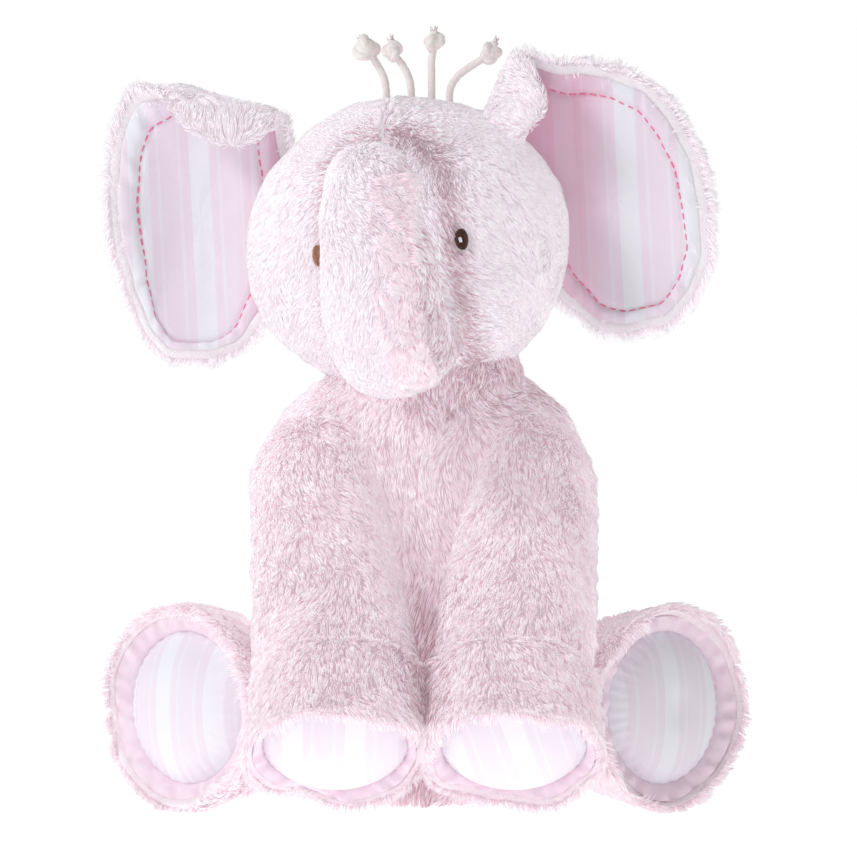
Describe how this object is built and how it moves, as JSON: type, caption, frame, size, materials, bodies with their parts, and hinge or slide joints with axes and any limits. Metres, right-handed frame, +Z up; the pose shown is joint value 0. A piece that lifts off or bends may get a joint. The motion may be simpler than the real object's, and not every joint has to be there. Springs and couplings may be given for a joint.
{
  "type": "stuffed elephant",
  "caption": "Seated plush elephant with a raised trunk, striped cotton ears and soles, flared cuffs round its feet and knotted rope hair.",
  "frame": {"origin": "middle of the flat seat, on the surface that the elephant sits on", "axes": "+Z up, -Y the way the elephant's body faces, +X towards its own left"},
  "size_m": [0.2897, 0.2915, 0.343],
  "materials": {
    "head_plush": "matte",
    "body_plush": "matte",
    "striped_cotton": "matte",
    "pink_cotton": "matte",
    "thread": "matte",
    "eye_thread": "matte",
    "highlight": "matte",
    "rope": "matte",
    "fill": "matte"
  },
  "bodies": {
    "torso": {"torso_skin": "body_plush", "torso_stuffing": "fill"},
    "neck": {"neck_skin": "body_plush", "neck_stuffing": "fill"},
    "head": {"head_skin": "head_plush", "head_stuffing": "fill", "eye_left": "eye_thread", "eye_right": "eye_thread", "eye_left_highlight": "highlight", "hair_cord_1": "rope", "hair_cord_2": "rope", "hair_cord_3": "rope", "hair_cord_4": "rope", "hair_knot_1": "rope", "hair_knot_2": "rope", "hair_knot_3": "rope", "hair_knot_4": "rope"},
    "trunk": {"trunk_skin": "head_plush", "trunk_gusset": "body_plush", "trunk_stuffing": "fill"},
    "tail": {"tail_skin": "body_plush", "tail_stuffing": "fill"},
    "ear_left": {"ear_left_back": "body_plush", "ear_left_front": "striped_cotton", "ear_left_stitching": "thread"},
    "arm_left": {"arm_left_skin": "body_plush", "arm_left_stuffing": "fill", "arm_left_cuff": "body_plush", "arm_left_cuff_lining": "pink_cotton", "arm_left_sole": "striped_cotton"},
    "leg_left": {"leg_left_skin": "body_plush", "leg_left_stuffing": "fill", "leg_left_cuff": "body_plush", "leg_left_cuff_lining": "pink_cotton", "leg_left_sole": "striped_cotton"},
    "ear_right": {"ear_right_back": "body_plush", "ear_right_front": "striped_cotton", "ear_right_stitching": "thread"},
    "arm_right": {"arm_right_skin": "body_plush", "arm_right_stuffing": "fill", "arm_right_cuff": "body_plush", "arm_right_cuff_lining": "pink_cotton", "arm_right_sole": "striped_cotton"},
    "leg_right": {"leg_right_skin": "body_plush", "leg_right_stuffing": "fill", "leg_right_cuff": "body_plush", "leg_right_cuff_lining": "pink_cotton", "leg_right_sole": "striped_cotton"}
  },
  "joints": [
    {"name": "neck_turn", "type": "hinge", "parent": "torso", "child": "neck", "pos_m": [0, -0.022, 0.187], "axis": [0, 0, 1], "range_deg": [-20, 20]},
    {"name": "head_nod", "type": "hinge", "parent": "neck", "child": "head", "pos_m": [0, -0.022, 0.187], "axis": [0.9862, -0.1211, 0.1132], "range_deg": [-10, 8]},
    {"name": "trunk_lift", "type": "hinge", "parent": "head", "child": "trunk", "pos_m": [-0.01067, -0.08013, 0.2178], "axis": [0.9862, -0.1211, 0.1132], "range_deg": [-8, 15]},
    {"name": "tail_wag", "type": "hinge", "parent": "torso", "child": "tail", "pos_m": [0, 0.079, 0.062], "axis": [0, 0, 1], "range_deg": [-20, 20]},
    {"name": "ear_left_flap", "type": "hinge", "parent": "head", "child": "ear_left", "pos_m": [0.06765, -0.03434, 0.26024], "axis": [-0.3476, 0.0427, 0.9367], "range_deg": [-15, 15]},
    {"name": "arm_left_swing", "type": "hinge", "parent": "torso", "child": "arm_left", "pos_m": [0.0385, -0.052, 0.14], "axis": [-1, 0, 0], "range_deg": [-2, 25]},
    {"name": "leg_left_spread", "type": "hinge", "parent": "torso", "child": "leg_left", "pos_m": [0.044, -0.008, 0.046], "axis": [0, 0, 1], "range_deg": [-2, 15]},
    {"name": "ear_right_flap", "type": "hinge", "parent": "head", "child": "ear_right", "pos_m": [-0.08323, -0.01581, 0.24292], "axis": [-0.1296, 0.0159, -0.9914], "range_deg": [-15, 15]},
    {"name": "arm_right_swing", "type": "hinge", "parent": "torso", "child": "arm_right", "pos_m": [-0.0385, -0.052, 0.14], "axis": [-1, 0, 0], "range_deg": [-2, 25]},
    {"name": "leg_right_spread", "type": "hinge", "parent": "torso", "child": "leg_right", "pos_m": [-0.044, -0.008, 0.046], "axis": [0, 0, -1], "range_deg": [-2, 15]}
  ]
}
